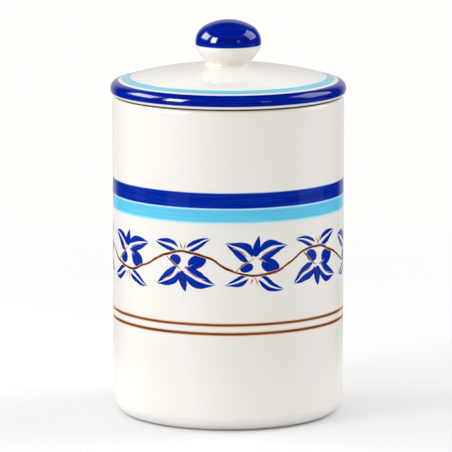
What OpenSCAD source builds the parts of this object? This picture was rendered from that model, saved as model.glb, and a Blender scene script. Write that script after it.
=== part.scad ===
// Glazed earthenware storage jar with a lift-off lid. Both pieces are turned forms: each is one
// half section, drawn with true arcs that meet tangentially, and revolved about Z. The jar
// stands on Z = 0 and its axis is Z. The lid rests by its flat seat on the jar's rim, and its
// flange keeps it centred in the mouth.

/* [Jar] */
// Outside diameter of the body
jar_d = 118; // [100:0.5:140]
// Height of the rim above the table
jar_h = 164; // [120:0.5:220]
// Thickness of the body's wall
jar_wall = 5.5; // [4.8:0.1:7]
// Thickness of the floor over the foot's recess
floor_t = 6; // [4:0.1:9]
// Radius of the inside corner between wall and floor
floor_corner_r = 8; // [4:0.5:14]

/* [Foot] */
// Radius that turns the wall in to the foot
base_r = 8; // [4:0.5:12]
// Width of the flat ring that the jar stands on
foot_w = 6; // [4:0.5:10]
// Depth of the recess inside the foot ring
foot_recess = 2.5; // [1.5:0.1:4]
// Slope of the recess's side from the table
foot_slope = 50; // [35:1:70]
// Radius of the foot ring's inner edge
foot_edge_r = 1; // [0.5:0.1:1.5]

/* [Mouth] */
// Radius of the rim's outer edge
lip_r = 3; // [2:0.1:3.3]
// Radius of the rim's inner edge
mouth_edge_r = 1.2; // [0.5:0.1:1.4]

/* [Lid] */
// How far the lid's rim stands out past the body
lid_overhang = 1.1; // [0.5:0.1:2.5]
// Radius of the roll along the lid's edge
rim_r = 4; // [3:0.1:5.5]
// Height of the roll's underside that the flat seat takes off
rim_cut = 1; // [0.5:0.1:1.8]
// Radius of the domed top
dome_r = 200; // [130:1:400]
// Thickness of the domed top
lid_t = 5.5; // [4:0.1:7]
// Radius inside, where the dome turns down into the flange
lid_corner_r = 4; // [2:0.5:7]

/* [Flange] */
// Clearance between the flange and the mouth, on the radius
flange_gap = 1.3; // [0.5:0.1:3]
// Depth of the flange below the seat
flange_h = 10; // [6:0.5:18]
// Thickness of the flange
flange_t = 4.5; // [3.5:0.1:6]
// Radius of the flange's lower edges
flange_edge_r = 1.5; // [0.5:0.1:1.7]
// Radius where the flange leaves the seat
flange_root_r = 1; // [0.5:0.1:1.5]

/* [Knob] */
// Widest diameter of the knob
knob_d = 33.6; // [28:0.1:42]
// Height of the knob above the dome's crown
knob_h = 22.8; // [20:0.1:30]
// Radius of the knob's flattened crown
knob_crown_r = 24.4; // [20:0.1:40]
// Radius of the knob's shoulder, at its widest
knob_shoulder_r = 9.4; // [7:0.1:11]
// Angle below the horizontal where the shoulder runs into the underside
knob_turn = 33.3; // [20:0.1:45]
// Diameter of the neck
neck_d = 22.8; // [18:0.1:26]
// Height above the dome at which the neck has that diameter
neck_up = 2; // [1.5:0.1:4]
// Radius of the fillet between neck and dome
neck_fillet_r = 1.6; // [1:0.1:3]

/* [Hollow in the knob] */
// Clay left between the hollow and the neck's surface
knob_wall = 5.2; // [4:0.1:7]
// Clay left over the end of the hollow
knob_cap = 8; // [5:0.1:12]
// Radius that opens the hollow into the lid's underside
hollow_mouth_r = 3; // [1:0.1:4]

/* [Hidden] */
$fn = 120;

// How far a cutting shape reaches past the face that it cuts
past = 2;
// How far a blend's arc reaches past the arcs that it joins, so that they cross and leave no sliver
blend = 0.003;
glaze_white = [0.95, 0.94, 0.92];

jar_r = jar_d / 2;
bore_r = jar_r - jar_wall;
floor_z = foot_recess + floor_t;
foot_out = jar_r - base_r;
foot_in = foot_out - foot_w;

seat_z = jar_h;
lid_r = jar_r + lid_overhang;
rim_c = [lid_r - rim_r, seat_z + rim_r - rim_cut];
flange_out = bore_r - flange_gap;
flange_in = flange_out - flange_t;
flange_z = seat_z - flange_h;

// The dome's centre lies on the axis, where its arc runs tangentially into the rim's roll
dome_z = rim_c.y - sqrt(pow(dome_r - rim_r, 2) - pow(rim_c.x, 2));
dome_c = [0, dome_z];
crown_z = dome_z + dome_r;
inner_r = dome_r - lid_t;

knob_top = crown_z + knob_h;
crown_c = [0, knob_top - knob_crown_r];
shoulder_x = knob_d / 2 - knob_shoulder_r;
shoulder_c = [shoulder_x, crown_c.y + leg(knob_crown_r - knob_shoulder_r, shoulder_x)];

// The knob's underside is the arc that leaves the shoulder tangentially and passes the neck
neck_p = [neck_d / 2, dome_z + leg(dome_r, neck_d / 2) + neck_up];
turn_u = [cos(knob_turn), -sin(knob_turn)];
turn_p = shoulder_c + knob_shoulder_r * turn_u;
under_r = pow(norm(turn_p - neck_p), 2) / (2 * (turn_p - neck_p) * turn_u);
under_c = turn_p - under_r * turn_u;
fillet_c = meet(dome_c, dome_r + neck_fillet_r, under_c, under_r + neck_fillet_r);

hollow_r = neck_d / 2 - knob_wall;
hollow_c = [0, knob_top - knob_cap - hollow_r];

// The other short side of a right triangle
function leg(long_side, side) = sqrt(pow(long_side, 2) - pow(side, 2));

// The point on the right that lies ra from a and rb from b, with b above a
function meet(a, ra, b, rb) =
    let (
        d = norm(b - a),
        u = (b - a) / d,
        s = (d * d + ra * ra - rb * rb) / (2 * d)
    )
    a + s * u + leg(ra, s) * [u.y, -u.x];

// The point at a distance from one centre, on the ray through another point
function along(from, to, distance) = from + distance * (to - from) / norm(to - from);

// What is cut off a corner to leave an arc of radius r about c: the outline runs from a point
// beyond one end of the arc, round the corner, to a point beyond its other end
module corner_waste(c, r, outline) {
    difference() {
        polygon(concat([c], outline));
        translate(c) circle(r + blend);
    }
}

// What is cut off a square corner at p, rounded by r, with the waste towards side
module square_corner_waste(p, r, side) {
    c = [p.x - side.x * r, p.y - side.y * r];
    reach = r + past;
    difference() {
        translate([min(c.x, c.x + side.x * reach), min(c.y, c.y + side.y * reach)])
            square(reach);
        translate(c) circle(r);
    }
}

// A disc about c, cut to the side of the axis that is turned, and to between two heights
module half_disc(c, r, low, high) {
    intersection() {
        translate(c) circle(r);
        translate([0, low]) square([r + past, high - low]);
    }
}

module jar_outside() {
    difference() {
        square([jar_r, jar_h]);
        square_corner_waste([jar_r, 0], base_r, [1, -1]);
        square_corner_waste([jar_r, jar_h], lip_r, [1, 1]);
    }
}

module jar_inside() {
    difference() {
        translate([-past, floor_z]) square([bore_r + past, jar_h]);
        square_corner_waste([bore_r, floor_z], floor_corner_r, [1, -1]);
    }
}

// The rim's inner edge is rounded outwards, so its waste lies on the mouth's side
module mouth_edge_waste() {
    square_corner_waste([bore_r, jar_h], mouth_edge_r, [-1, 1]);
}

module foot_recess_section() {
    run = foot_recess / tan(foot_slope);
    below = past / tan(foot_slope);
    // The edge's arc touches the table's plane and the recess's slope
    edge_c = [foot_in + foot_edge_r * tan(foot_slope / 2), foot_edge_r];
    polygon([
        [-past, -past],
        [foot_in + below, -past],
        [foot_in - run, foot_recess],
        [-past, foot_recess]
    ]);
    corner_waste(edge_c, foot_edge_r, [
        edge_c - (foot_edge_r + past) * [sin(foot_slope), cos(foot_slope)],
        [foot_in - past / sin(foot_slope), -past],
        [edge_c.x, -past]
    ]);
}

module jar() {
    color(glaze_white)
        rotate_extrude()
        intersection() {
            square([jar_r + past, jar_h + past]);
            difference() {
                jar_outside();
                jar_inside();
                mouth_edge_waste();
                foot_recess_section();
            }
        }
}

// The dome and its rolled rim, solid down to the seat
module dome_section() {
    above = along(rim_c, dome_c, -(rim_r + past));
    far = [lid_r + past, seat_z - past];
    difference() {
        intersection() {
            half_disc(dome_c, dome_r, seat_z, crown_z + past);
            translate([0, seat_z]) square([lid_r + past / 2, knob_top]);
        }
        corner_waste(rim_c, rim_r, [above, [far.x, above.y], far, [rim_c.x, far.y]]);
    }
}

// The knob is the part that the crown's disc and the underside's disc share, less its corner
module knob_section() {
    difference() {
        intersection() {
            half_disc(crown_c, knob_crown_r, dome_z, knob_top + past);
            half_disc(under_c, under_r, crown_z - lid_t / 2, knob_top + past);
        }
        corner_waste(shoulder_c, knob_shoulder_r, [
            along(crown_c, shoulder_c, knob_crown_r + past),
            [knob_d, shoulder_c.y],
            turn_p + past * turn_u
        ]);
    }
}

// The clay that fills the crease between neck and dome, down to the fillet's arc
module neck_section() {
    on_dome = along(dome_c, fillet_c, dome_r);
    on_neck = along(under_c, fillet_c, under_r);
    difference() {
        polygon([[0, on_dome.y - lid_t / 2], on_dome, fillet_c, on_neck, [0, on_neck.y]]);
        translate(fillet_c) circle(neck_fillet_r + blend);
    }
}

module flange_section() {
    root_c = [flange_out + flange_root_r, seat_z - flange_root_r];
    difference() {
        translate([flange_in - lid_corner_r, flange_z])
            square([flange_t + lid_corner_r, flange_h + rim_r]);
        square_corner_waste([flange_out, flange_z], flange_edge_r, [1, -1]);
    }
    difference() {
        translate([flange_out - flange_t / 2, root_c.y])
            square([flange_root_r + flange_t / 2, flange_root_r + rim_cut]);
        translate(root_c) circle(flange_root_r);
    }
}

// The room under the dome, inside the flange
module lid_inside() {
    corner_c = [
        flange_in - lid_corner_r,
        dome_z + leg(inner_r - lid_corner_r, flange_in - lid_corner_r)
    ];
    difference() {
        intersection() {
            translate(dome_c) circle(inner_r);
            translate([-past, flange_z - past]) square([flange_in + past, knob_top]);
        }
        corner_waste(corner_c, lid_corner_r, [
            along(dome_c, corner_c, inner_r + past),
            [flange_in + past, corner_c.y + lid_corner_r + past],
            [flange_in + past, corner_c.y]
        ]);
    }
}

// The flange's inner lower edge, rounded towards the room inside
module flange_inner_edge_waste() {
    square_corner_waste([flange_in, flange_z], flange_edge_r, [-1, -1]);
}

// A round-ended bore up into the knob, opened by a radius where it leaves the underside
module knob_hollow() {
    mouth_c = [
        hollow_r + hollow_mouth_r,
        dome_z + leg(inner_r + hollow_mouth_r, hollow_r + hollow_mouth_r)
    ];
    on_under = along(dome_c, mouth_c, inner_r - past);
    translate([-past, on_under.y]) square([hollow_r + past, hollow_c.y - on_under.y]);
    translate(hollow_c) circle(hollow_r);
    corner_waste(mouth_c, hollow_mouth_r, [
        [hollow_r - past, mouth_c.y],
        [0, on_under.y],
        on_under
    ]);
}

module lid() {
    color(glaze_white)
        rotate_extrude()
        intersection() {
            translate([0, flange_z - past]) square([lid_r + past, knob_top]);
            difference() {
                union() {
                    dome_section();
                    knob_section();
                    neck_section();
                    flange_section();
                }
                lid_inside();
                flange_inner_edge_waste();
                knob_hollow();
            }
        }
}

jar();
lid();
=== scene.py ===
"""Looks of the olive jar: a turned, glazed and hand-painted jar and its lid, in a plain studio.

The pot's sizes are in millimetres, as on a potter's drawing, and turn into metres where a mesh
is made. The studio's are in metres. The jar stands on Z = 0, its axis is Z, and the camera looks
along +Y.
"""
import logging
import math
from dataclasses import dataclass, field
from enum import Enum
from typing import Any

import bpy
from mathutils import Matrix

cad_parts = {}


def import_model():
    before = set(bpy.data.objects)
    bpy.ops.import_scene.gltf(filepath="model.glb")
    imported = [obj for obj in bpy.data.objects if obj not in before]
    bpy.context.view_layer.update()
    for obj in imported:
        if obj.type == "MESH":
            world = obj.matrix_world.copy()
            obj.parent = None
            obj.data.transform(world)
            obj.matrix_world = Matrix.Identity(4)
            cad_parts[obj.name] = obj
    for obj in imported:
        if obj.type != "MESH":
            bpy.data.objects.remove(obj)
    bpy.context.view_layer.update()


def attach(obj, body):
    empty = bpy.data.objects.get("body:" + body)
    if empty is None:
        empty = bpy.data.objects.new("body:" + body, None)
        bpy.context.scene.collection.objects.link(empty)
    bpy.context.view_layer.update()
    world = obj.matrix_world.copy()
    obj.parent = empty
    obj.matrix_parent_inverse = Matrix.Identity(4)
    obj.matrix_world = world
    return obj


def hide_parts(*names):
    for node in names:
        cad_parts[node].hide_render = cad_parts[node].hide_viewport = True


LOG = logging.getLogger("olive_jar")
MM = 0.001
Point = tuple[float, float]
Range = tuple[float, float]


def linear(code: str) -> tuple[float, float, float, float]:
    """Turns an sRGB hex colour into Blender's linear values.

    Args:
        code: The colour as #rrggbb.

    Returns:
        Linear red, green, blue and an alpha of 1.
    """
    parts = [int(code[i:i + 2], 16) / 255 for i in (1, 3, 5)]
    red, green, blue = (p / 12.92 if p <= 0.04045 else ((p + 0.055) / 1.055) ** 2.4 for p in parts)
    return red, green, blue, 1.0


def add(tree: bpy.types.NodeTree, kind: str, *inputs: Any, **settings: Any) -> bpy.types.Node:
    """Adds one node to a tree, with its settings and links.

    Args:
        tree: The tree that takes the node.
        kind: The node's type, such as ShaderNodeMath.
        inputs: For each enabled input in order, a socket, a node for its first output, a plain
            value, or None to leave it.
        settings: The node's own properties. One named at_ and a socket's name sets that socket.

    Returns:
        The new node.
    """
    node = tree.nodes.new(kind)
    named = {}
    for name, value in settings.items():
        if name.startswith("at_"):
            named[name[3:].replace("_", " ").lower()] = value
        else:
            setattr(node, name, value)
    sockets = [s for s in node.inputs if s.enabled]
    pairs = list(zip(sockets, inputs))
    pairs += [(s, named[s.name.lower()]) for s in sockets if s.name.lower() in named]
    for socket, value in pairs:
        if isinstance(value, bpy.types.Node):
            value = next(s for s in value.outputs if s.enabled)
        if isinstance(value, bpy.types.NodeSocket):
            tree.links.new(value, socket)
        elif value is not None:
            socket.default_value = value
    return node


class Tip(Enum):
    """How a brush stroke ends, as the power that its width falls off by."""

    ROUND = 0.5
    POINTED = 0.95


@dataclass(frozen=True)
class Stain:
    """A ceramic colour, brushed on the raw glaze and melted into it."""

    thin: str
    body: str
    pooled: str


# Cobalt oxide: a deep, even blue that goes pale where the brush was nearly dry
COBALT = Stain(thin="#7391dc", body="#0433ab", pooled="#001a86")
# The same cobalt laid on twice, as on the lid's edge and knob
COBALT_TWICE = Stain(thin="#6c8ad8", body="#0223a2", pooled="#000f7a")
# Copper turquoise: a thin wash that lets the white glaze through
TURQUOISE = Stain(thin="#c4ecf8", body="#6bcdee", pooled="#56c0e6")
# The same wash made paler for the lid: a painted reflection of the white sweep on the dome
TURQUOISE_PALE_SHEEN = Stain(thin="#cdebf5", body="#82cbe4", pooled="#72c1e0")
# Iron and manganese brown: a rusty fringe round a dark core
BROWN = Stain(thin="#eec4a4", body="#8f5430", pooled="#4c1f0b")


@dataclass(frozen=True)
class TinGlaze:
    """Glossy white tin glaze over cast earthenware: a mirror-smooth, slightly warm white."""

    white: str = "#f1eeea"
    shade: str = "#ebe7e1"
    roughness: float = 0.055
    ior: float = 1.56
    # Slow swell of the melted glaze, in millimetres of height and of spacing
    swell: float = 0.02
    swell_spacing: float = 26.0
    # Spacing of the faint clouds in the white, in millimetres
    cloud_spacing: float = 50.0


@dataclass(frozen=True)
class Biscuit:
    """Unglazed fired clay on the foot ring, the seats and the flange's end: dry and finely grained.

    It is a pale buff. On the seats it is painted dark brown, as painted shade for the dark line between
    lid and jar.
    """

    colour: str = "#d9c7ae"
    speck: str = "#c4ab8b"
    # Dark brown of the seats: painted shade in the gap between lid and jar
    seat_shade: str = "#6b4f3c"
    roughness: float = 0.85
    # Spacing of the grains and the depth of the pits between them, in millimetres
    grain: float = 0.6
    pit: float = 0.06


@dataclass(frozen=True)
class Band:
    """A painted ring, laid on at the banding wheel between two heights or radii.

    All but streak, the contrast of the brush streaks, is in millimetres.
    """

    low: float
    high: float
    stain: Stain
    soft_low: float = 0.4
    soft_high: float = 0.4
    waver: float = 0.3
    streak: float = 1.6


@dataclass(frozen=True)
class Stroke:
    """One touch of the brush in the leaf border, in a cell's own millimetres.

    The vein is half the width of the bare line at a leaf's start. Far below zero, there is none.
    """

    at: Point
    turn: float
    reach: float
    width: float
    bend: float = 0.0
    start: Tip = Tip.ROUND
    end: Tip = Tip.POINTED
    vein: float = -99.0


@dataclass
class Section:
    """A half section, drawn as points from the axis round to the axis."""

    points: list[Point] = field(default_factory=list)

    def line(self, end: Point, step: float = 4.0) -> None:
        """Adds a straight run to a point, split into short steps."""
        if not self.points:
            self.points.append(end)
            return
        start = self.points[-1]
        count = max(1, math.ceil(math.dist(start, end) / step))
        for i in range(1, count + 1):
            t = i / count
            out = start[0] + (end[0] - start[0]) * t
            up = start[1] + (end[1] - start[1]) * t
            self.points.append((out, up))

    def arc(self, centre: Point, radius: float, start: float, end: float, step: float = 6.0) -> None:
        """Adds an arc.

        Args:
            centre: The arc's centre.
            radius: The arc's radius.
            start: The angle it begins at, in degrees from outwards, up being 90.
            end: The angle it ends at.
            step: The largest angle between two points.
        """
        count = max(2, math.ceil(abs(end - start) / step))
        for i in range(count + 1):
            a = math.radians(start + (end - start) * i / count)
            p = (max(0.0, centre[0] + radius * math.cos(a)), centre[1] + radius * math.sin(a))
            if not self.points or math.dist(p, self.points[-1]) > 0.001:
                self.points.append(p)


class TurnedForm:
    """A form of revolution, made from a half section by Geometry Nodes."""

    SEGMENTS = 288
    # Two faces that meet at a larger angle meet in an edge
    CREASE = math.radians(34)
    # Points nearer than this are one, in metres: those on the axis and at the seam
    WELD = 2e-6

    def __init__(self) -> None:
        """Builds the tree that turns a section about Z."""
        tree = bpy.data.node_groups.new("turned_form", "GeometryNodeTree")
        face = tree.interface
        face.new_socket("Section", in_out="INPUT", socket_type="NodeSocketGeometry")
        face.new_socket("Segments", in_out="INPUT", socket_type="NodeSocketInt")
        face.new_socket("Finish", in_out="INPUT", socket_type="NodeSocketMaterial")
        face.new_socket("Form", in_out="OUTPUT", socket_type="NodeSocketGeometry")
        self.tree = tree
        start = add(tree, "NodeGroupInput").outputs
        section, segments, finish = start[0], start[1], start[2]
        size = add(tree, "GeometryNodeAttributeDomainSize", section, component="MESH")
        count = size.outputs["Point Count"]
        columns = add(tree, "ShaderNodeMath", segments, 1, operation="ADD")
        grid = add(tree, "GeometryNodeMeshGrid", 1.0, 1.0, columns, count)
        index = add(tree, "GeometryNodeInputIndex")
        ratio = add(tree, "ShaderNodeMath", index, count, operation="DIVIDE")
        column = add(tree, "ShaderNodeMath", ratio, operation="FLOOR")
        row = add(tree, "ShaderNodeMath", index, count, operation="MODULO")
        place = add(tree, "GeometryNodeInputPosition")
        point = add(
            tree, "GeometryNodeSampleIndex", section, place, row, data_type="FLOAT_VECTOR", domain="POINT"
        )
        share = add(tree, "ShaderNodeMath", column, segments, operation="DIVIDE")
        angle = add(tree, "ShaderNodeMath", share, 2 * math.pi, operation="MULTIPLY")
        turned = add(
            tree, "ShaderNodeVectorRotate", rotation_type="Z_AXIS", at_Vector=point, at_Angle=angle
        )
        moved = add(tree, "GeometryNodeSetPosition", grid, None, turned)
        closed = add(tree, "GeometryNodeMergeByDistance", moved, at_Distance=self.WELD)
        bent = add(tree, "GeometryNodeInputMeshEdgeAngle")
        sharp = add(tree, "FunctionNodeCompare", bent, self.CREASE, operation="GREATER_THAN")
        smooth = add(tree, "GeometryNodeSetShadeSmooth", closed, None, True, domain="FACE")
        creased = add(tree, "GeometryNodeSetShadeSmooth", smooth, sharp, False, domain="EDGE")
        real = add(tree, "GeometryNodeRealizeInstances", creased)
        dressed = add(tree, "GeometryNodeSetMaterial", real, None, finish)
        add(tree, "NodeGroupOutput", dressed)

    def make(self, name: str, section: Section, finish: bpy.types.Material) -> bpy.types.Object:
        """Turns a section into a closed mesh.

        Args:
            name: The piece's name.
            section: The half section, in millimetres.
            finish: The piece's material.

        Returns:
            The finished object, at the origin.
        """
        mesh = bpy.data.meshes.new(name + "_section")
        points = [(r * MM, 0.0, z * MM) for r, z in section.points]
        mesh.from_pydata(points, [(i, i + 1) for i in range(len(points) - 1)], [])
        blank = bpy.data.objects.new(name + "_section", mesh)
        bpy.context.collection.objects.link(blank)
        modifier = blank.modifiers.new("turned", "NODES")
        modifier.node_group = self.tree
        wanted = {"Segments": self.SEGMENTS, "Finish": finish}
        for item in self.tree.interface.items_tree:
            if item.in_out == "INPUT" and item.name in wanted:
                modifier[item.identifier] = wanted[item.name]
        seen = blank.evaluated_get(bpy.context.evaluated_depsgraph_get())
        turned = bpy.data.meshes.new_from_object(seen)
        turned.name = name
        bpy.data.objects.remove(blank)
        if self.volume(turned) < 0:
            turned.flip_normals()
        piece = bpy.data.objects.new(name, turned)
        bpy.context.collection.objects.link(piece)
        return piece

    @staticmethod
    def volume(mesh: bpy.types.Mesh) -> float:
        """Gives the signed volume of a closed mesh, which is negative if it is inside out."""
        total = 0.0
        corners = [v.co for v in mesh.vertices]
        for face in mesh.polygons:
            first, *others = (corners[i] for i in face.vertices)
            for a, b in zip(others, others[1:]):
                total += first.dot(a.cross(b))
        return total / 6


class GlazePainter:
    """Builds one painted glaze material, layer by layer, on Object coordinates in millimetres."""

    # Streaks of the brush, in turns per millimetre: some 29 mm long round the form, 0.7 mm high
    COMB = (0.035, 0.035, 1.5)
    # Slow waver of the wheel, in turns per millimetre
    WAVER = 0.035
    # Cover at which a stain has its full colour and at which it starts, each with its softness
    CORE = (0.72, 0.28)
    FRINGE = (0.3, 0.3)
    # Half the range of the streak noise that becomes tone, at a contrast of 1
    SPREAD = 0.25

    def __init__(self, name: str, glaze: TinGlaze) -> None:
        """Starts the material with its coordinates and its white.

        Args:
            name: The material's name.
            glaze: The white glaze under the paint.
        """
        self.material = bpy.data.materials.new(name)
        self.material.use_nodes = True
        self.tree = self.material.node_tree
        self.tree.nodes.clear()
        self.glaze = glaze
        t = self.tree
        place = add(t, "ShaderNodeTexCoord").outputs["Object"]
        self.point = add(t, "ShaderNodeVectorMath", place, at_Scale=1 / MM, operation="SCALE")
        parts = add(t, "ShaderNodeSeparateXYZ", self.point).outputs
        self.height = parts[2]
        back = add(t, "ShaderNodeMath", parts[1], -1, operation="MULTIPLY")
        self.angle = add(t, "ShaderNodeMath", parts[0], back, operation="ARCTAN2")
        flat = add(t, "ShaderNodeVectorMath", self.point, (1, 1, 0), operation="MULTIPLY")
        self.radius = add(t, "ShaderNodeVectorMath", flat, operation="LENGTH").outputs["Value"]
        # The brush held still at a turning wheel leaves long, thin streaks round the form
        combed = add(t, "ShaderNodeVectorMath", self.point, self.COMB, operation="MULTIPLY")
        self.streaks = add(t, "ShaderNodeTexNoise", combed, at_Scale=1.0, at_Detail=3.0).outputs[0]
        self.waver = add(
            t, "ShaderNodeTexNoise", self.point, at_Scale=self.WAVER, at_Detail=2.0
        ).outputs[0]
        cloud = add(
            t, "ShaderNodeTexNoise", self.point, at_Scale=1 / glaze.cloud_spacing, at_Detail=2.0
        ).outputs[0]
        self.colour = add(
            t, "ShaderNodeMix", cloud, linear(glaze.white), linear(glaze.shade), data_type="RGBA"
        ).outputs[2]

    def step(self, value: Any, edge: float, soft: float) -> bpy.types.Node:
        """Gives 0 below an edge and 1 above it, with a soft change between."""
        return add(
            self.tree, "ShaderNodeMapRange", value, edge - soft, edge + soft, 0, 1,
            interpolation_type="SMOOTHSTEP",
        )

    def wash(self, cover: Any, tone: Any, stain: Stain) -> None:
        """Lays a stain over the colour so far.

        Args:
            cover: How much stain there is, 0 to 1.
            tone: How the brush shared it out, 0 for little and 1 for much.
            stain: The ceramic colour.
        """
        t = self.tree
        deep = add(t, "ShaderNodeMix", tone, linear(stain.body), linear(stain.pooled), data_type="RGBA")
        core = self.step(cover, *self.CORE)
        ink = add(t, "ShaderNodeMix", core, linear(stain.thin), deep.outputs[2], data_type="RGBA")
        edge = self.step(cover, *self.FRINGE)
        self.colour = add(
            t, "ShaderNodeMix", edge, self.colour, ink.outputs[2], data_type="RGBA"
        ).outputs[2]

    def band(self, along: Any, band: Band, only: Any = None) -> None:
        """Paints one ring.

        Args:
            along: The height or radius that the ring is measured on.
            band: The ring.
            only: A mask of where the ring may lie, or None.
        """
        t = self.tree
        sway = add(t, "ShaderNodeMath", self.waver, -0.5, operation="ADD")
        moved = add(t, "ShaderNodeMath", sway, 2 * band.waver, along, operation="MULTIPLY_ADD")
        low = self.step(moved, band.low, band.soft_low)
        high = self.step(moved, band.high, band.soft_high)
        left = add(t, "ShaderNodeMath", low, high, operation="SUBTRACT")
        cover = add(t, "ShaderNodeMath", left, 1 if only is None else only, operation="MULTIPLY")
        half = self.SPREAD / band.streak
        tone = add(t, "ShaderNodeMapRange", self.streaks, 0.5 - half, 0.5 + half, 0, 1)
        self.wash(cover, tone, band.stain)

    def finish(self, dry: Any, seat_shade: Any, biscuit: Biscuit = Biscuit()) -> bpy.types.Material:
        """Closes the material with its gloss and its slow swell.

        Args:
            dry: A mask of where the clay is bare.
            seat_shade: A mask of where the bare clay is painted dark brown, as painted shade between lid
                and jar.
            biscuit: The bare clay.

        Returns:
            The finished material.
        """
        t = self.tree
        colour = self.colour
        swell = add(
            t, "ShaderNodeTexNoise", self.point, at_Scale=1 / self.glaze.swell_spacing, at_Detail=1.0
        ).outputs[0]
        relief = add(t, "ShaderNodeMath", swell, self.glaze.swell, operation="MULTIPLY")
        grain = add(t, "ShaderNodeTexNoise", self.point, at_Scale=1 / biscuit.grain, at_Detail=3.0)
        clay = add(
            t, "ShaderNodeMix", grain.outputs[0], linear(biscuit.colour), linear(biscuit.speck),
            data_type="RGBA",
        ).outputs[2]
        # Painted shade: the bare clay on the seats turns dark brown, for the line between lid and jar
        clay = add(t, "ShaderNodeMix", seat_shade, clay, linear(biscuit.seat_shade), data_type="RGBA").outputs[2]
        colour = add(t, "ShaderNodeMix", dry, colour, clay, data_type="RGBA").outputs[2]
        rough = add(t, "ShaderNodeMapRange", dry, 0, 1, self.glaze.roughness, biscuit.roughness)
        pits = add(t, "ShaderNodeMath", grain.outputs[0], biscuit.pit, operation="MULTIPLY")
        pits = add(t, "ShaderNodeMath", pits, dry, operation="MULTIPLY")
        relief = add(t, "ShaderNodeMath", relief, pits, operation="ADD")
        metres = add(t, "ShaderNodeMath", relief, MM, operation="MULTIPLY")
        bump = add(t, "ShaderNodeBump", at_Strength=1.0, at_Distance=1.0, at_Height=metres)
        shader = add(
            t, "ShaderNodeBsdfPrincipled", at_Base_Color=colour, at_Roughness=rough,
            at_IOR=self.glaze.ior, at_Normal=bump,
        )
        add(t, "ShaderNodeOutputMaterial", shader)
        return self.material


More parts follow.
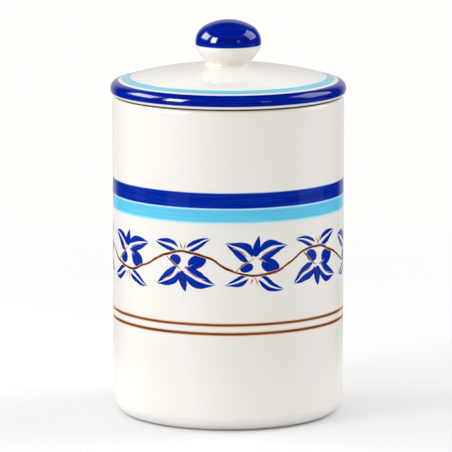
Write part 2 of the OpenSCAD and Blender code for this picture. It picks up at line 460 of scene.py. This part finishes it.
@dataclass
class LeafBorder:
    """A running olive branch: a brown stem that waves round the jar, with leaves and fruit.

    The border is cut into cells of one half wave. Every other cell is turned upside down, so
    each hollow of the stem holds the same sprig.
    """

    # Depth inside a stroke's edge over which its colour comes in, in millimetres
    EDGE = (-0.1, 0.38)

    radius: float = 59.0
    middle: float = 85.6
    cells: int = 10
    # Where the first cell starts, as a share of a cell
    start: float = 0.12
    swing: float = 6.5
    # Distance from the stem's middle at which its colour ends and at which it is full
    stem: Range = (1.05, 0.35)
    # How strongly the ground is pulled about, in millimetres, and its turns per millimetre
    drift: float = 5.0
    drift_scale: float = 0.06
    # The most that a sprig leans, in radians
    lean: float = 0.09
    # How far a stroke's edge is uneven, in millimetres, and its turns per millimetre
    fray: float = 0.12
    fray_scale: float = 0.55
    # Streaks of the dragged brush, along a stroke and across it, and the noise that becomes tone
    drag: tuple[float, float, float] = (0.7, 3.2, 1)
    drag_scale: float = 1.3
    drag_range: Range = (0.36, 0.66)
    # Blots in the brown, in turns per millimetre, the noise that becomes tone, and the least tone
    blot_scale: float = 0.16
    blot_range: Range = (0.4, 0.6)
    blot_least: float = 0.45
    sprig: tuple[Stroke, ...] = (
        Stroke((8.6, 6.8), 22, 8.8, 4.3, 0.32, vein=0.55),
        Stroke((-9.4, 6.8), 148, 7.8, 4.0, -0.32, vein=0.5),
        Stroke((-0.2, 8.9), 84, 5.0, 2.4, 0.2),
        Stroke((8.2, -10.0), -20, 7.2, 3.0, -0.3, vein=0.4),
        Stroke((-9.6, -9.2), 197, 6.8, 2.8, 0.3, vein=0.4),
        Stroke((7.6, -0.9), -30, 5.0, 4.1, end=Tip.ROUND),
        Stroke((-4.6, -1.7), 205, 3.6, 3.0, end=Tip.ROUND),
    )
    twigs: tuple[Stroke, ...] = (
        Stroke((-5.9, -0.6), 38, 6.6, 0.55, 0.9, Tip.ROUND, Tip.ROUND),
        Stroke((3.0, 1.9), -25, 3.0, 0.45, 0.6, Tip.ROUND, Tip.POINTED),
        Stroke((7.3, 6.1), 22, 5.4, 0.42, 1.9, Tip.ROUND, Tip.POINTED),
        Stroke((-8.4, 6.2), 148, 4.6, 0.4, -1.6, Tip.ROUND, Tip.POINTED),
        Stroke((0.6, -9.6), -70, 2.4, 0.45, 0.0, Tip.ROUND, Tip.POINTED),
        Stroke((-1.6, -9.8), -110, 2.2, 0.45, 0.0, Tip.ROUND, Tip.POINTED),
    )

    def stroke_group(self) -> bpy.types.NodeTree:
        """Builds the group that lays one stroke over the strokes before it."""
        group = bpy.data.node_groups.new("brush_stroke", "ShaderNodeTree")
        face = group.interface
        for name, kind in (
            ("Point", "Vector"), ("At", "Vector"), ("Turn", "Vector"), ("Reach", "Vector"),
            ("Bend", "Float"), ("Start", "Float"), ("End", "Float"), ("Peak", "Float"),
            ("Vein", "Float"), ("Fray", "Float"), ("Cover", "Float"), ("Grain", "Vector"),
            ("Seed", "Float"),
        ):
            face.new_socket(name, in_out="INPUT", socket_type="NodeSocket" + kind)
        face.new_socket("Cover", in_out="OUTPUT", socket_type="NodeSocketFloat")
        face.new_socket("Grain", in_out="OUTPUT", socket_type="NodeSocketVector")
        given = add(group, "NodeGroupInput").outputs
        local = add(
            group, "ShaderNodeMapping", given["Point"], given["At"], given["Turn"], given["Reach"],
            vector_type="TEXTURE",
        )
        parts = add(group, "ShaderNodeSeparateXYZ", local).outputs
        along = add(group, "ShaderNodeClamp", parts[0], -1, 1)
        before = add(group, "ShaderNodeMath", along, 1, operation="ADD")
        after = add(group, "ShaderNodeMath", 1, along, operation="SUBTRACT")
        lead = add(group, "ShaderNodeMath", before, given["Start"], operation="POWER")
        trail = add(group, "ShaderNodeMath", after, given["End"], operation="POWER")
        half = add(group, "ShaderNodeMath", lead, trail, operation="MULTIPLY")
        half = add(group, "ShaderNodeMath", half, given["Peak"], operation="MULTIPLY")
        bow = add(group, "ShaderNodeMath", before, after, operation="MULTIPLY")
        bow = add(group, "ShaderNodeMath", bow, given["Bend"], operation="MULTIPLY")
        across = add(group, "ShaderNodeMath", parts[1], bow, operation="SUBTRACT")
        away = add(group, "ShaderNodeMath", across, operation="ABSOLUTE")
        inside = add(group, "ShaderNodeMath", half, away, operation="SUBTRACT")
        reach = add(group, "ShaderNodeSeparateXYZ", given["Reach"]).outputs
        width = reach[1]
        depth = add(group, "ShaderNodeMath", inside, width, given["Fray"], operation="MULTIPLY_ADD")
        beyond = add(group, "ShaderNodeMath", parts[0], along, operation="SUBTRACT")
        beyond = add(group, "ShaderNodeMath", beyond, operation="ABSOLUTE")
        beyond = add(group, "ShaderNodeMath", beyond, reach[0], operation="MULTIPLY")
        depth = add(group, "ShaderNodeMath", depth, beyond, operation="SUBTRACT")
        gap = add(group, "ShaderNodeMath", given["Vein"], after, operation="MULTIPLY")
        beside = add(group, "ShaderNodeMath", away, width, operation="MULTIPLY")
        beside = add(group, "ShaderNodeMath", beside, gap, operation="SUBTRACT")
        depth = add(group, "ShaderNodeMath", depth, beside, operation="MINIMUM")
        cover = add(
            group, "ShaderNodeMapRange", depth, *self.EDGE, 0, 1, interpolation_type="SMOOTHSTEP"
        )
        total = add(group, "ShaderNodeMath", cover, given["Cover"], operation="ADD")
        mark = add(group, "ShaderNodeCombineXYZ", along, across, given["Seed"])
        grain = add(
            group, "ShaderNodeMix", cover, given["Grain"], mark, data_type="VECTOR"
        ).outputs[1]
        add(group, "NodeGroupOutput", total, grain)
        return group

    def lay(self, tree: bpy.types.NodeTree, spot: Any, fray: Any, strokes: tuple[Stroke, ...]) -> Any:
        """Lays strokes one after the other.

        Args:
            tree: The material's tree.
            spot: The point in the cell, in millimetres.
            fray: The unevenness of the edges.
            strokes: What the brush does.

        Returns:
            The last group node, with the cover and grain of them all.
        """
        group = bpy.data.node_groups.get("brush_stroke") or self.stroke_group()
        last = None
        for seed, stroke in enumerate(strokes):
            a, b = stroke.start.value, stroke.end.value
            peak = ((2 * a / (a + b)) ** a * (2 * b / (a + b)) ** b) ** -1
            node = tree.nodes.new("ShaderNodeGroup")
            node.node_tree = group
            values = {
                "At": (*stroke.at, 0), "Turn": (0, 0, math.radians(stroke.turn)),
                "Reach": (stroke.reach, stroke.width, 1), "Bend": stroke.bend, "Start": a, "End": b,
                "Peak": peak, "Vein": stroke.vein, "Cover": 0.0, "Seed": seed * 3.7,
            }
            for name, value in values.items():
                node.inputs[name].default_value = value
            tree.links.new(spot, node.inputs["Point"])
            tree.links.new(fray, node.inputs["Fray"])
            if last is not None:
                tree.links.new(last.outputs["Cover"], node.inputs["Cover"])
                tree.links.new(last.outputs["Grain"], node.inputs["Grain"])
            last = node
        return last

    def paint(self, painter: GlazePainter) -> None:
        """Paints the border on a glaze."""
        t = painter.tree
        cell = 2 * math.pi * self.radius / self.cells
        # A hand never repeats itself: the ground is pulled about by up to a millimetre
        drift = add(
            t, "ShaderNodeTexNoise", painter.point, at_Scale=self.drift_scale, at_Detail=1.0
        ).outputs[1]
        drift = add(t, "ShaderNodeVectorMath", drift, (-0.5, -0.5, -0.5), operation="ADD")
        drift = add(t, "ShaderNodeVectorMath", drift, at_Scale=self.drift, operation="SCALE")
        drift = add(t, "ShaderNodeSeparateXYZ", drift).outputs
        around = add(
            t, "ShaderNodeMath", painter.angle, self.radius, drift[0], operation="MULTIPLY_ADD"
        )
        around = add(t, "ShaderNodeMath", around, cell * (self.cells + self.start), operation="ADD")
        up = add(t, "ShaderNodeMath", painter.height, -self.middle, operation="ADD")
        up = add(t, "ShaderNodeMath", up, drift[2], operation="ADD")
        count = add(t, "ShaderNodeMath", around, cell, operation="DIVIDE")
        number = add(t, "ShaderNodeMath", count, operation="FLOOR")
        part = add(t, "ShaderNodeMath", count, number, operation="SUBTRACT")
        part = add(t, "ShaderNodeMath", part, -0.5, operation="ADD")
        side = add(t, "ShaderNodeMath", part, cell, operation="MULTIPLY")
        parity = add(t, "ShaderNodeMath", number, 2, operation="FLOORED_MODULO")
        flip = add(t, "ShaderNodeMath", parity, -2, 1, operation="MULTIPLY_ADD")
        local_up = add(t, "ShaderNodeMath", up, flip, operation="MULTIPLY")
        spot = add(t, "ShaderNodeCombineXYZ", side, local_up, 0)
        # Each sprig leans and sits a little otherwise
        own = add(t, "ShaderNodeTexWhiteNoise", number, noise_dimensions="1D").outputs
        lean = add(t, "ShaderNodeMapRange", own["Value"], 0, 1, -self.lean, self.lean)
        leaning = add(
            t, "ShaderNodeVectorRotate", rotation_type="Z_AXIS", at_Vector=spot, at_Angle=lean
        )
        fray = add(
            t, "ShaderNodeTexNoise", painter.point, at_Scale=self.fray_scale, at_Detail=2.0
        ).outputs[0]
        fray = add(t, "ShaderNodeMapRange", fray, 0.3, 0.7, -self.fray, self.fray)
        leaves = self.lay(t, leaning.outputs[0], fray.outputs[0], self.sprig)
        grain = add(
            t, "ShaderNodeVectorMath", leaves.outputs["Grain"], self.drag, operation="MULTIPLY"
        )
        drag = add(
            t, "ShaderNodeTexNoise", grain, at_Scale=self.drag_scale, at_Detail=3.0
        ).outputs[0]
        over = add(t, "ShaderNodeMath", leaves.outputs["Cover"], -1, operation="ADD")
        over = add(t, "ShaderNodeMath", over, 0, operation="MAXIMUM")
        tone = add(t, "ShaderNodeMapRange", drag, *self.drag_range, 0, 1)
        tone = add(t, "ShaderNodeMath", tone, over, operation="ADD", use_clamp=True)
        full = add(t, "ShaderNodeMath", leaves.outputs["Cover"], 1, operation="MINIMUM")
        painter.wash(full, tone, COBALT)
        # The stem is a wave that runs on from cell to cell
        turn = add(t, "ShaderNodeMath", side, math.pi / cell, operation="MULTIPLY")
        wave = add(t, "ShaderNodeMath", turn, operation="COSINE")
        off = add(t, "ShaderNodeMath", wave, self.swing, local_up, operation="MULTIPLY_ADD")
        off = add(t, "ShaderNodeMath", off, operation="ABSOLUTE")
        stem = add(t, "ShaderNodeMath", off, fray, operation="ADD")
        stem = add(
            t, "ShaderNodeMapRange", stem, *self.stem, 0, 1, interpolation_type="SMOOTHSTEP"
        )
        twigs = self.lay(t, leaning.outputs[0], fray.outputs[0], self.twigs)
        thin = add(t, "ShaderNodeMath", twigs.outputs["Cover"], stem, operation="MAXIMUM")
        thin = add(t, "ShaderNodeMath", thin, 1, operation="MINIMUM")
        blot = add(
            t, "ShaderNodeTexNoise", painter.point, at_Scale=self.blot_scale, at_Detail=2.0
        ).outputs[0]
        dark = add(t, "ShaderNodeMapRange", blot, *self.blot_range, self.blot_least, 1)
        painter.wash(thin, dark, BROWN)


@dataclass
class Jar:
    """The body: a straight cylinder with a rounded lip and a turned foot."""

    radius: float = 59.0
    height: float = 164.0
    bore: float = 53.5
    floor: float = 8.5
    floor_round: float = 8.0
    base_round: float = 8.0
    foot_inner: float = 45.0
    foot_edge: float = 1.0
    recess: float = 2.5
    recess_slope: float = 50.0
    lip: float = 3.0
    mouth_edge: float = 1.2
    bands: tuple[Band, ...] = (
        Band(106.6, 113.9, TURQUOISE, soft_low=1.7, soft_high=1.2, waver=0.2, streak=1.0),
        Band(114.2, 122.0, COBALT, soft_low=0.45, soft_high=0.5, waver=0.25, streak=1.5),
        Band(54.2, 55.9, BROWN, soft_low=0.75, soft_high=0.75, waver=0.2, streak=0.7),
        Band(49.6, 51.4, BROWN, soft_low=0.75, soft_high=0.75, waver=0.2, streak=0.7),
    )
    border: LeafBorder = field(default_factory=LeafBorder)
    # Paint keeps to the outer wall, to within this depth
    skin: float = 1.0
    # Height of the bare clay on the foot ring and its depth at the rim, with the edge's softness
    wiped_foot: float = 0.35
    wiped_rim: float = 0.75
    wiped_soft: float = 0.15

    def section(self) -> Section:
        """Draws the half section from the recess, round the outside, to the floor inside."""
        slope = math.radians(self.recess_slope)
        run = self.recess / math.tan(slope)
        edge = (self.foot_inner + self.foot_edge * math.tan(slope / 2), self.foot_edge)
        s = Section()
        s.line((0, self.recess))
        s.line((self.foot_inner - run, self.recess))
        s.arc(edge, self.foot_edge, 270 - self.recess_slope, 270)
        s.line((self.radius - self.base_round, 0), 2)
        s.arc((self.radius - self.base_round, self.base_round), self.base_round, -90, 0, 5)
        s.line((self.radius, self.height - self.lip))
        s.arc((self.radius - self.lip, self.height - self.lip), self.lip, 0, 90, 7.5)
        s.line((self.bore + self.mouth_edge, self.height), 2)
        mouth = (self.bore + self.mouth_edge, self.height - self.mouth_edge)
        s.arc(mouth, self.mouth_edge, 90, 180, 10)
        s.line((self.bore, self.floor + self.floor_round))
        s.arc(
            (self.bore - self.floor_round, self.floor + self.floor_round), self.floor_round, 0, -90, 6
        )
        s.line((0, self.floor))
        return s

    def glaze(self) -> bpy.types.Material:
        """Makes the painted glaze of the body.

        Tin glaze on earthenware gives the eye a smooth, wet-looking white that mirrors the lamps,
        with the paint sunk into it and under the same gloss.
        """
        painter = GlazePainter("tin_glaze_jar", TinGlaze())
        t = painter.tree
        outside = painter.step(painter.radius, self.radius - self.skin, 0.3)
        for band in self.bands:
            painter.band(painter.height, band, outside)
        before = painter.colour
        self.border.paint(painter)
        painter.colour = add(
            t, "ShaderNodeMix", outside, before, painter.colour, data_type="RGBA"
        ).outputs[2]
        low = add(t, "ShaderNodeMath", painter.height, self.wiped_foot, operation="LESS_THAN")
        # The glaze is wiped off where the lid sits. The bare clay there is painted dark brown: painted
        # shade for the dark line between lid and jar
        seat = painter.step(painter.height, self.height - self.wiped_rim, self.wiped_soft)
        dry = add(t, "ShaderNodeMath", low, seat, operation="ADD", use_clamp=True)
        return painter.finish(dry, seat_shade=seat)

    def build(self, turner: TurnedForm) -> bpy.types.Object:
        """Makes the body and gives it to the frame.

        Args:
            turner: What turns a section into a form.

        Returns:
            The finished piece.
        """
        piece = turner.make("glazed_jar", self.section(), self.glaze())
        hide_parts("jar")
        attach(piece, "jar")
        return piece


@dataclass
class Lid:
    """The lid: a low dome with a rolled rim, a locating flange and a bored ball knob."""

    seat: float = 164.0
    dome: float = 200.0
    thickness: float = 5.5
    roll: float = 4.0
    roll_at: Point = (56.1, 167.0)
    flange_outer: float = 52.2
    flange_inner: float = 47.7
    flange_end: float = 154.0
    flange_edge: float = 1.5
    root: float = 1.0
    corner: float = 4.0
    knob_width: float = 33.6
    knob_height: float = 22.8
    crown: float = 24.4
    shoulder: float = 9.4
    turn: float = 33.3
    neck: float = 22.8
    neck_up: float = 2.0
    fillet: float = 1.6
    hollow: float = 6.2
    hollow_mouth: float = 3.0
    knob_cap: float = 8.0
    # The turquoise ring, by radius, how far its centre is to the front, and how far above the seat
    # it may lie
    # Its turquoise is paled by a painted reflection of the white sweep on the dome
    ring: Band = Band(50.0, 54.4, TURQUOISE_PALE_SHEEN, 0.7, 0.5, waver=0.5, streak=1.0)
    offset: float = 0.9
    ring_rise: float = 4.5
    # The cobalt edge lies outside a radius and above a height, and the cap above a height
    edge_radius: float = 56.1
    edge_height: float = 165.5
    cap_height: float = 189.3
    paint_soft: float = 0.35
    # Bare clay: up from the flange's end, and on the seat outside the flange
    wiped_flange: float = 0.3
    wiped_out: float = 0.5
    wiped_seat: float = 0.25

    @staticmethod
    def meet(a: Point, ra: float, b: Point, rb: float) -> Point:
        """Gives the point outside both circles' centres that lies ra from a and rb from b."""
        d = math.dist(a, b)
        u = ((b[0] - a[0]) / d, (b[1] - a[1]) / d)
        s = (d * d + ra * ra - rb * rb) / (2 * d)
        h = math.sqrt(ra * ra - s * s)
        return a[0] + s * u[0] + h * u[1], a[1] + s * u[1] - h * u[0]

    @staticmethod
    def bearing(a: Point, b: Point) -> float:
        """Gives the direction from one point to another, in degrees."""
        return math.degrees(math.atan2(b[1] - a[1], b[0] - a[0]))

    def section(self) -> Section:
        """Draws the half section from the hollow's end, round the underside, to the knob's top."""
        rx, rz = self.roll_at
        dome_z = rz - math.sqrt((self.dome - self.roll) ** 2 - rx**2)
        dome_c = (0.0, dome_z)
        inner = self.dome - self.thickness
        top = dome_z + self.dome + self.knob_height
        crown_c = (0.0, top - self.crown)
        sx = self.knob_width / 2 - self.shoulder
        shoulder_c = (sx, crown_c[1] + math.sqrt((self.crown - self.shoulder) ** 2 - sx**2))
        half_neck = self.neck / 2
        neck_p = (half_neck, dome_z + math.sqrt(self.dome**2 - half_neck**2) + self.neck_up)
        a = math.radians(self.turn)
        u = (math.cos(a), -math.sin(a))
        turn_p = (shoulder_c[0] + self.shoulder * u[0], shoulder_c[1] + self.shoulder * u[1])
        gap = (turn_p[0] - neck_p[0], turn_p[1] - neck_p[1])
        under = math.dist(turn_p, neck_p) ** 2 / (2 * (gap[0] * u[0] + gap[1] * u[1]))
        under_c = (turn_p[0] - under * u[0], turn_p[1] - under * u[1])
        fillet_c = self.meet(dome_c, self.dome + self.fillet, under_c, under + self.fillet)
        mouth_r = self.hollow + self.hollow_mouth
        mouth_c = (mouth_r, dome_z + math.sqrt((inner + self.hollow_mouth) ** 2 - mouth_r**2))
        corner_x = self.flange_inner - self.corner
        corner_c = (corner_x, dome_z + math.sqrt((inner - self.corner) ** 2 - corner_x**2))
        e = self.flange_edge
        s = Section()
        s.arc((0, top - self.knob_cap - self.hollow), self.hollow, 90, 0, 9)
        s.line((self.hollow, mouth_c[1]), 3)
        s.arc(mouth_c, self.hollow_mouth, 180, self.bearing(mouth_c, dome_c) + 360, 9)
        s.arc(dome_c, inner, self.bearing(dome_c, mouth_c), self.bearing(dome_c, corner_c), 1)
        s.arc(corner_c, self.corner, self.bearing(dome_c, corner_c), 0, 8)
        s.line((self.flange_inner, self.flange_end + e), 3)
        s.arc((self.flange_inner + e, self.flange_end + e), e, 180, 270, 10)
        s.arc((self.flange_outer - e, self.flange_end + e), e, 270, 360, 10)
        s.line((self.flange_outer, self.seat - self.root), 3)
        s.arc((self.flange_outer + self.root, self.seat - self.root), self.root, 180, 90, 10)
        start = math.degrees(math.asin((self.seat - rz) / self.roll))
        s.line((rx + self.roll * math.cos(math.radians(start)), self.seat), 2)
        s.arc(self.roll_at, self.roll, start, self.bearing(dome_c, self.roll_at), 6)
        end = self.bearing(dome_c, fillet_c)
        s.arc(dome_c, self.dome, self.bearing(dome_c, self.roll_at), end, 0.8)
        end = self.bearing(fillet_c, under_c)
        s.arc(fillet_c, self.fillet, self.bearing(fillet_c, dome_c) + 360, end, 8)
        s.arc(under_c, under, self.bearing(under_c, fillet_c), -self.turn, 2)
        s.arc(shoulder_c, self.shoulder, -self.turn, self.bearing(crown_c, shoulder_c), 5)
        s.arc(crown_c, self.crown, self.bearing(crown_c, shoulder_c), 90, 4)
        return s

    def glaze(self) -> bpy.types.Material:
        """Makes the painted glaze of the lid, the same tin glaze as on the body."""
        painter = GlazePainter("tin_glaze_lid", TinGlaze())
        t = painter.tree
        above = painter.step(painter.height, self.seat + self.ring_rise, 0.2)
        # The rings were banded a little off the dome's centre, towards the front
        moved = add(t, "ShaderNodeVectorMath", painter.point, (0, self.offset, 0), operation="ADD")
        flat = add(t, "ShaderNodeVectorMath", moved, (1, 1, 0), operation="MULTIPLY")
        radius = add(t, "ShaderNodeVectorMath", flat, operation="LENGTH").outputs["Value"]
        painter.band(radius, self.ring, above)
        out = painter.step(radius, self.edge_radius, self.paint_soft)
        up = painter.step(painter.height, self.edge_height, self.paint_soft)
        rim = add(t, "ShaderNodeMath", out, up, operation="MULTIPLY")
        tone = add(t, "ShaderNodeMapRange", painter.streaks, 0.35, 0.65, 0, 1)
        painter.wash(rim, tone, COBALT_TWICE)
        cap = painter.step(painter.height, self.cap_height, self.paint_soft)
        painter.wash(cap, tone, COBALT_TWICE)
        tip = self.flange_end + self.wiped_flange
        end = add(t, "ShaderNodeMath", painter.height, tip, operation="LESS_THAN")
        wide = painter.step(painter.radius, self.flange_outer + self.wiped_out, 0.2)
        rest = self.seat + self.wiped_seat
        low = add(t, "ShaderNodeMath", painter.height, rest, operation="LESS_THAN")
        seat = add(t, "ShaderNodeMath", wide, low, operation="MULTIPLY")
        dry = add(t, "ShaderNodeMath", end, seat, operation="MAXIMUM")
        # The seat outside the flange is painted dark brown too: painted shade between lid and jar
        return painter.finish(dry, seat_shade=seat)

    def build(self, turner: TurnedForm) -> bpy.types.Object:
        """Makes the lid and gives it to the frame.

        Args:
            turner: What turns a section into a form.

        Returns:
            The finished piece.
        """
        piece = turner.make("glazed_lid", self.section(), self.glaze())
        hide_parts("lid")
        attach(piece, "lid")
        return piece


@dataclass(frozen=True)
class Softbox:
    """A rectangular lamp that faces the jar from a bearing and an elevation, in degrees.

    The bearing is 0 towards the camera and 90 to the right. One that is only_gloss lights nothing,
    and shows as a reflection alone.
    """

    name: str
    bearing: float
    elevation: float
    width: float
    height: float
    radiance: float
    distance: float = 1.2
    only_gloss: bool = False
    colour: str = "#ffffff"


@dataclass
class Studio:
    """A white table in a plain studio, lit by softboxes at the left and the right.

    The two keys have brighter cores in the gloss, and dim strips and a window show in it too.
    """

    lamps: tuple[Softbox, ...] = (
        Softbox("key_side", -99, 31, 0.80, 0.58, 2.35),
        Softbox("key_front", -55, 25, 0.46, 0.70, 3.6),
        Softbox("fill_right", 104, 35, 0.80, 0.75, 2.3),
        Softbox("core_side", -98, 31, 0.62, 0.46, 6.0, only_gloss=True),
        Softbox("core_front", -54, 25, 0.36, 0.58, 12.0, only_gloss=True),
        Softbox("skirt_side", -96, -14, 0.33, 0.44, 0.13, only_gloss=True, colour="#b9d6ff"),
        Softbox("skirt_front", -50, -14, 0.50, 0.44, 0.2, only_gloss=True, colour="#b9d6ff"),
        Softbox("skirt_right", 90, -12, 0.74, 0.44, 0.22, only_gloss=True, colour="#b9d6ff"),
        Softbox("window", 37, 20, 0.2, 0.35, 1.0, only_gloss=True),
    )
    # Height that the softboxes face
    target: float = 0.10
    lens: float = 374.93
    eye: tuple[float, float, float] = (-0.00115, -2.3752, 0.5014)
    tilt: float = 80.302
    # Strength of the room on the glaze, and in its gloss before and behind the jar
    ambient: float = 0.76
    gloss_front: float = 0.02
    gloss_behind: float = 0.6
    # Parts of a direction between which the front gives way to the white sweep behind the jar
    sweep_from: Range = (0.74, 0.96)
    # Parts that point up, between which the sweep ends, and between which it grows brighter
    sweep_end: Range = (0.62, 0.78)
    glow_from: Range = (0.40, 0.50)
    glow: float = 1.9
    # Light that the board gives the camera alone, so that its white matches the room's
    lift: float = 0.07
    table_radius: float = 0.62
    table_sides: int = 96
    # Distances over which the board fades, as seen, and in the gloss
    fade: Range = (0.3, 0.6076)
    gloss_fade: Range = (0.10, 0.26)

    def camera(self) -> None:
        """Places the camera: a long lens from 10 degrees above."""
        data = bpy.data.cameras.new("camera")
        data.sensor_width = 36.0
        data.lens = self.lens
        data.clip_start, data.clip_end = 0.1, 50.0
        cam = bpy.data.objects.new("camera", data)
        cam.location = self.eye
        cam.rotation_euler = (math.radians(self.tilt), 0, 0)
        bpy.context.collection.objects.link(cam)
        bpy.context.scene.camera = cam

    def light(self, box: Softbox) -> None:
        """Hangs one softbox."""
        data = bpy.data.lights.new(box.name, "AREA")
        data.shape = "RECTANGLE"
        data.size, data.size_y = box.width, box.height
        # The power at which the lamp's own face shows the wanted radiance
        data.energy = 4 * box.width * box.height * box.radiance
        data.color = linear(box.colour)[:3]
        lamp = bpy.data.objects.new(box.name, data)
        a, e = math.radians(box.bearing), math.radians(box.elevation)
        away = (math.sin(a) * math.cos(e), -math.cos(a) * math.cos(e), math.sin(e))
        lamp.location = [box.distance * c for c in away]
        lamp.location.z += self.target
        lamp.rotation_euler = (math.radians(90) - e, 0, a)
        lamp.visible_camera = False
        lamp.visible_diffuse = not box.only_gloss
        bpy.context.collection.objects.link(lamp)

    def world(self) -> None:
        """Makes the room: white to the camera, even and soft on the glaze, dark in its gloss.

        A mirror-smooth glaze shows the white sweep behind the jar and the dark room before it.
        """
        world = bpy.data.worlds.new("studio")
        world.use_nodes = True
        bpy.context.scene.world = world
        t = world.node_tree
        t.nodes.clear()
        path = add(t, "ShaderNodeLightPath").outputs
        direction = add(t, "ShaderNodeTexCoord").outputs["Generated"]
        toward = add(t, "ShaderNodeSeparateXYZ", direction).outputs
        behind = add(
            t, "ShaderNodeMapRange", toward[1], *self.sweep_from, self.gloss_front, self.gloss_behind,
            interpolation_type="SMOOTHSTEP",
        )
        low = add(
            t, "ShaderNodeMapRange", toward[2], *self.sweep_end, 1, 0, interpolation_type="SMOOTHSTEP"
        )
        sweep = add(t, "ShaderNodeMath", behind, low, operation="MULTIPLY")
        glow = add(
            t, "ShaderNodeMapRange", toward[2], *self.glow_from, 1.0, self.glow,
            interpolation_type="SMOOTHSTEP",
        )
        sweep = add(t, "ShaderNodeMath", sweep, glow, operation="MULTIPLY")
        gloss = path["Is Glossy Ray"]
        level = add(t, "ShaderNodeMix", gloss, self.ambient, sweep, data_type="FLOAT")
        clear = path["Is Transmission Ray"]
        seen = add(t, "ShaderNodeMath", path["Is Camera Ray"], clear, operation="MAXIMUM")
        level = add(t, "ShaderNodeMix", seen, level, 1.0, data_type="FLOAT")
        back = add(t, "ShaderNodeBackground", linear("#fffefc"), level)
        add(t, "ShaderNodeOutputWorld", back)

    def table(self) -> None:
        """Makes the table: matt white board that keeps the shadow and fades into the white room."""
        material = bpy.data.materials.new("matt_white_board")
        material.use_nodes = True
        t = material.node_tree
        t.nodes.clear()
        path = add(t, "ShaderNodeLightPath").outputs
        place = add(t, "ShaderNodeTexCoord").outputs["Object"]
        away = add(t, "ShaderNodeVectorMath", place, operation="LENGTH").outputs["Value"]
        board = add(t, "ShaderNodeBsdfDiffuse", linear("#e3e3e4"))
        lift = add(t, "ShaderNodeMix", path["Is Camera Ray"], 0.0, self.lift, data_type="FLOAT")
        glow = add(t, "ShaderNodeEmission", linear("#ffffff"), lift)
        lit = add(t, "ShaderNodeAddShader", board, glow)
        clear = add(t, "ShaderNodeBsdfTransparent", linear("#ffffff"))
        fade = add(
            t, "ShaderNodeMapRange", away, *self.fade, 0, 1, interpolation_type="SMOOTHSTEP"
        )
        near = add(
            t, "ShaderNodeMapRange", away, *self.gloss_fade, 0, 1, interpolation_type="SMOOTHSTEP"
        )
        fade = add(t, "ShaderNodeMix", path["Is Glossy Ray"], fade, near, data_type="FLOAT")
        under = add(t, "ShaderNodeNewGeometry").outputs["Backfacing"]
        fade = add(t, "ShaderNodeMath", fade, under, operation="MAXIMUM")
        mixed = add(t, "ShaderNodeMixShader", fade, lit, clear)
        add(t, "ShaderNodeOutputMaterial", mixed)
        count = self.table_sides
        ring = [2 * math.pi * i / count for i in range(count)]
        rim = [(self.table_radius * math.cos(a), self.table_radius * math.sin(a), 0) for a in ring]
        mesh = bpy.data.meshes.new("table")
        mesh.from_pydata(rim, [], [tuple(range(count))])
        mesh.materials.append(material)
        table = bpy.data.objects.new("table", mesh)
        bpy.context.collection.objects.link(table)

    def build(self) -> None:
        """Sets up the whole studio."""
        bpy.context.scene.view_settings.view_transform = "Standard"
        self.camera()
        self.world()
        self.table()
        for box in self.lamps:
            self.light(box)


def main() -> None:
    """Builds the studio, then the jar and its lid."""
    logging.basicConfig(level=logging.INFO, format="%(name)s: %(message)s")
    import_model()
    Studio().build()
    turner = TurnedForm()
    for part in (Jar(), Lid()):
        piece = part.build(turner)
        LOG.info("%s: %d faces", piece.name, len(piece.data.polygons))


if __name__ == "__main__":
    main()
